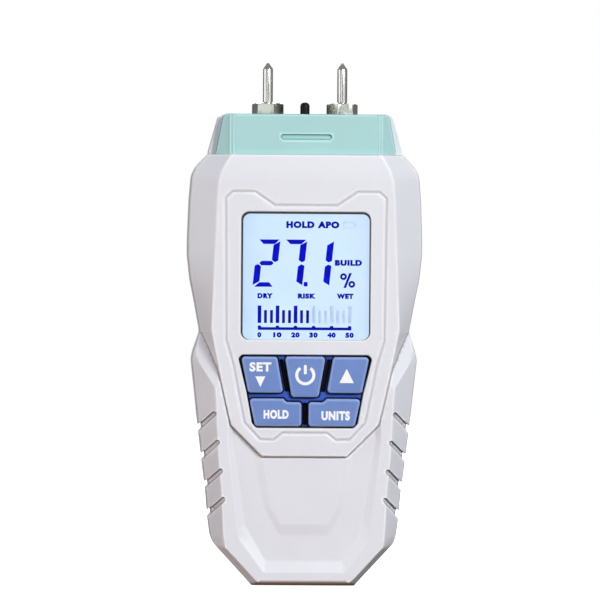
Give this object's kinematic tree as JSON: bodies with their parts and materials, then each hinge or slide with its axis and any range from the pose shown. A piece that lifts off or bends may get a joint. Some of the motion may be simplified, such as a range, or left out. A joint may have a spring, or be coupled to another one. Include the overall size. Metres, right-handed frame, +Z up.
{
  "type": "moisture meter",
  "caption": "Hand-held pin moisture meter with an upright waisted housing, teal head cap, backlit display, silicone keys, steel electrode pins and a rear battery door.",
  "frame": {"origin": "middle of the base, at the bottom centre of the whole meter's box", "axes": "+Z up from the base to the electrode pins, -Y out of the display, +X to the right seen from the front"},
  "size_m": [0.0676, 0.0312, 0.1508],
  "materials": {
    "shell": "fine satin moulded texture",
    "cap": "fine satin moulded texture",
    "window": "clear",
    "display": "backlit, even",
    "white_plastic": "plain",
    "contact_rubber": "plain",
    "board": "solder mask",
    "chip": "plain",
    "key": "satin silicone",
    "key_web": "satin silicone",
    "pin_steel": "turned and polished",
    "brass": "turned",
    "bead": "glossy",
    "lead": "insulated wire",
    "cell": "plain wrap",
    "plated_steel": "nickel plated"
  },
  "bodies": {
    "housing": {"front_shell": "shell", "rear_shell": "shell", "head_cover": "cap", "display_lens": "window", "lcd_glass": "display", "lcd_frame": "white_plastic", "backlight_panel": "white_plastic", "socket_carrier": "white_plastic", "zebra_connectors": "contact_rubber", "main_pcb": "board", "board_chips": "chip", "keypad_mat": "key_web", "electrode_left": "pin_steel", "electrode_right": "pin_steel", "electrode_sockets": "brass", "temperature_sensor": "bead", "sensor_leads": "lead", "battery_leads": "lead", "battery_1": "cell", "battery_2": "cell", "battery_3": "cell", "battery_contacts": "plated_steel", "battery_springs": "plated_steel", "board_screws": "plated_steel", "housing_screws": "plated_steel"},
    "set_key": {"key_set": "key", "pill_set": "contact_rubber"},
    "power_key": {"key_power": "key", "pill_power": "contact_rubber"},
    "up_key": {"key_up": "key", "pill_up": "contact_rubber"},
    "hold_key": {"key_hold": "key", "pill_hold": "contact_rubber"},
    "units_key": {"key_units": "key", "pill_units": "contact_rubber"},
    "door": {"battery_door": "shell"}
  },
  "joints": [
    {"name": "set_press", "type": "slide", "parent": "housing", "child": "set_key", "axis": [0, 1, 0], "range_m": [0, 0.001], "stiffness_N_per_m": 1500, "springref_m": -0.0002},
    {"name": "power_press", "type": "slide", "parent": "housing", "child": "power_key", "axis": [0, 1, 0], "range_m": [0, 0.001], "stiffness_N_per_m": 1500, "springref_m": -0.0002},
    {"name": "up_press", "type": "slide", "parent": "housing", "child": "up_key", "axis": [0, 1, 0], "range_m": [0, 0.001], "stiffness_N_per_m": 1500, "springref_m": -0.0002},
    {"name": "hold_press", "type": "slide", "parent": "housing", "child": "hold_key", "axis": [0, 1, 0], "range_m": [0, 0.001], "stiffness_N_per_m": 1500, "springref_m": -0.0002},
    {"name": "units_press", "type": "slide", "parent": "housing", "child": "units_key", "axis": [0, 1, 0], "range_m": [0, 0.001], "stiffness_N_per_m": 1500, "springref_m": -0.0002},
    {"name": "door_hinge", "type": "hinge", "parent": "housing", "child": "door", "pos_m": [0, 0.0147, 0.012], "axis": [-1, 0, 0], "range_deg": [0, 75]}
  ]
}
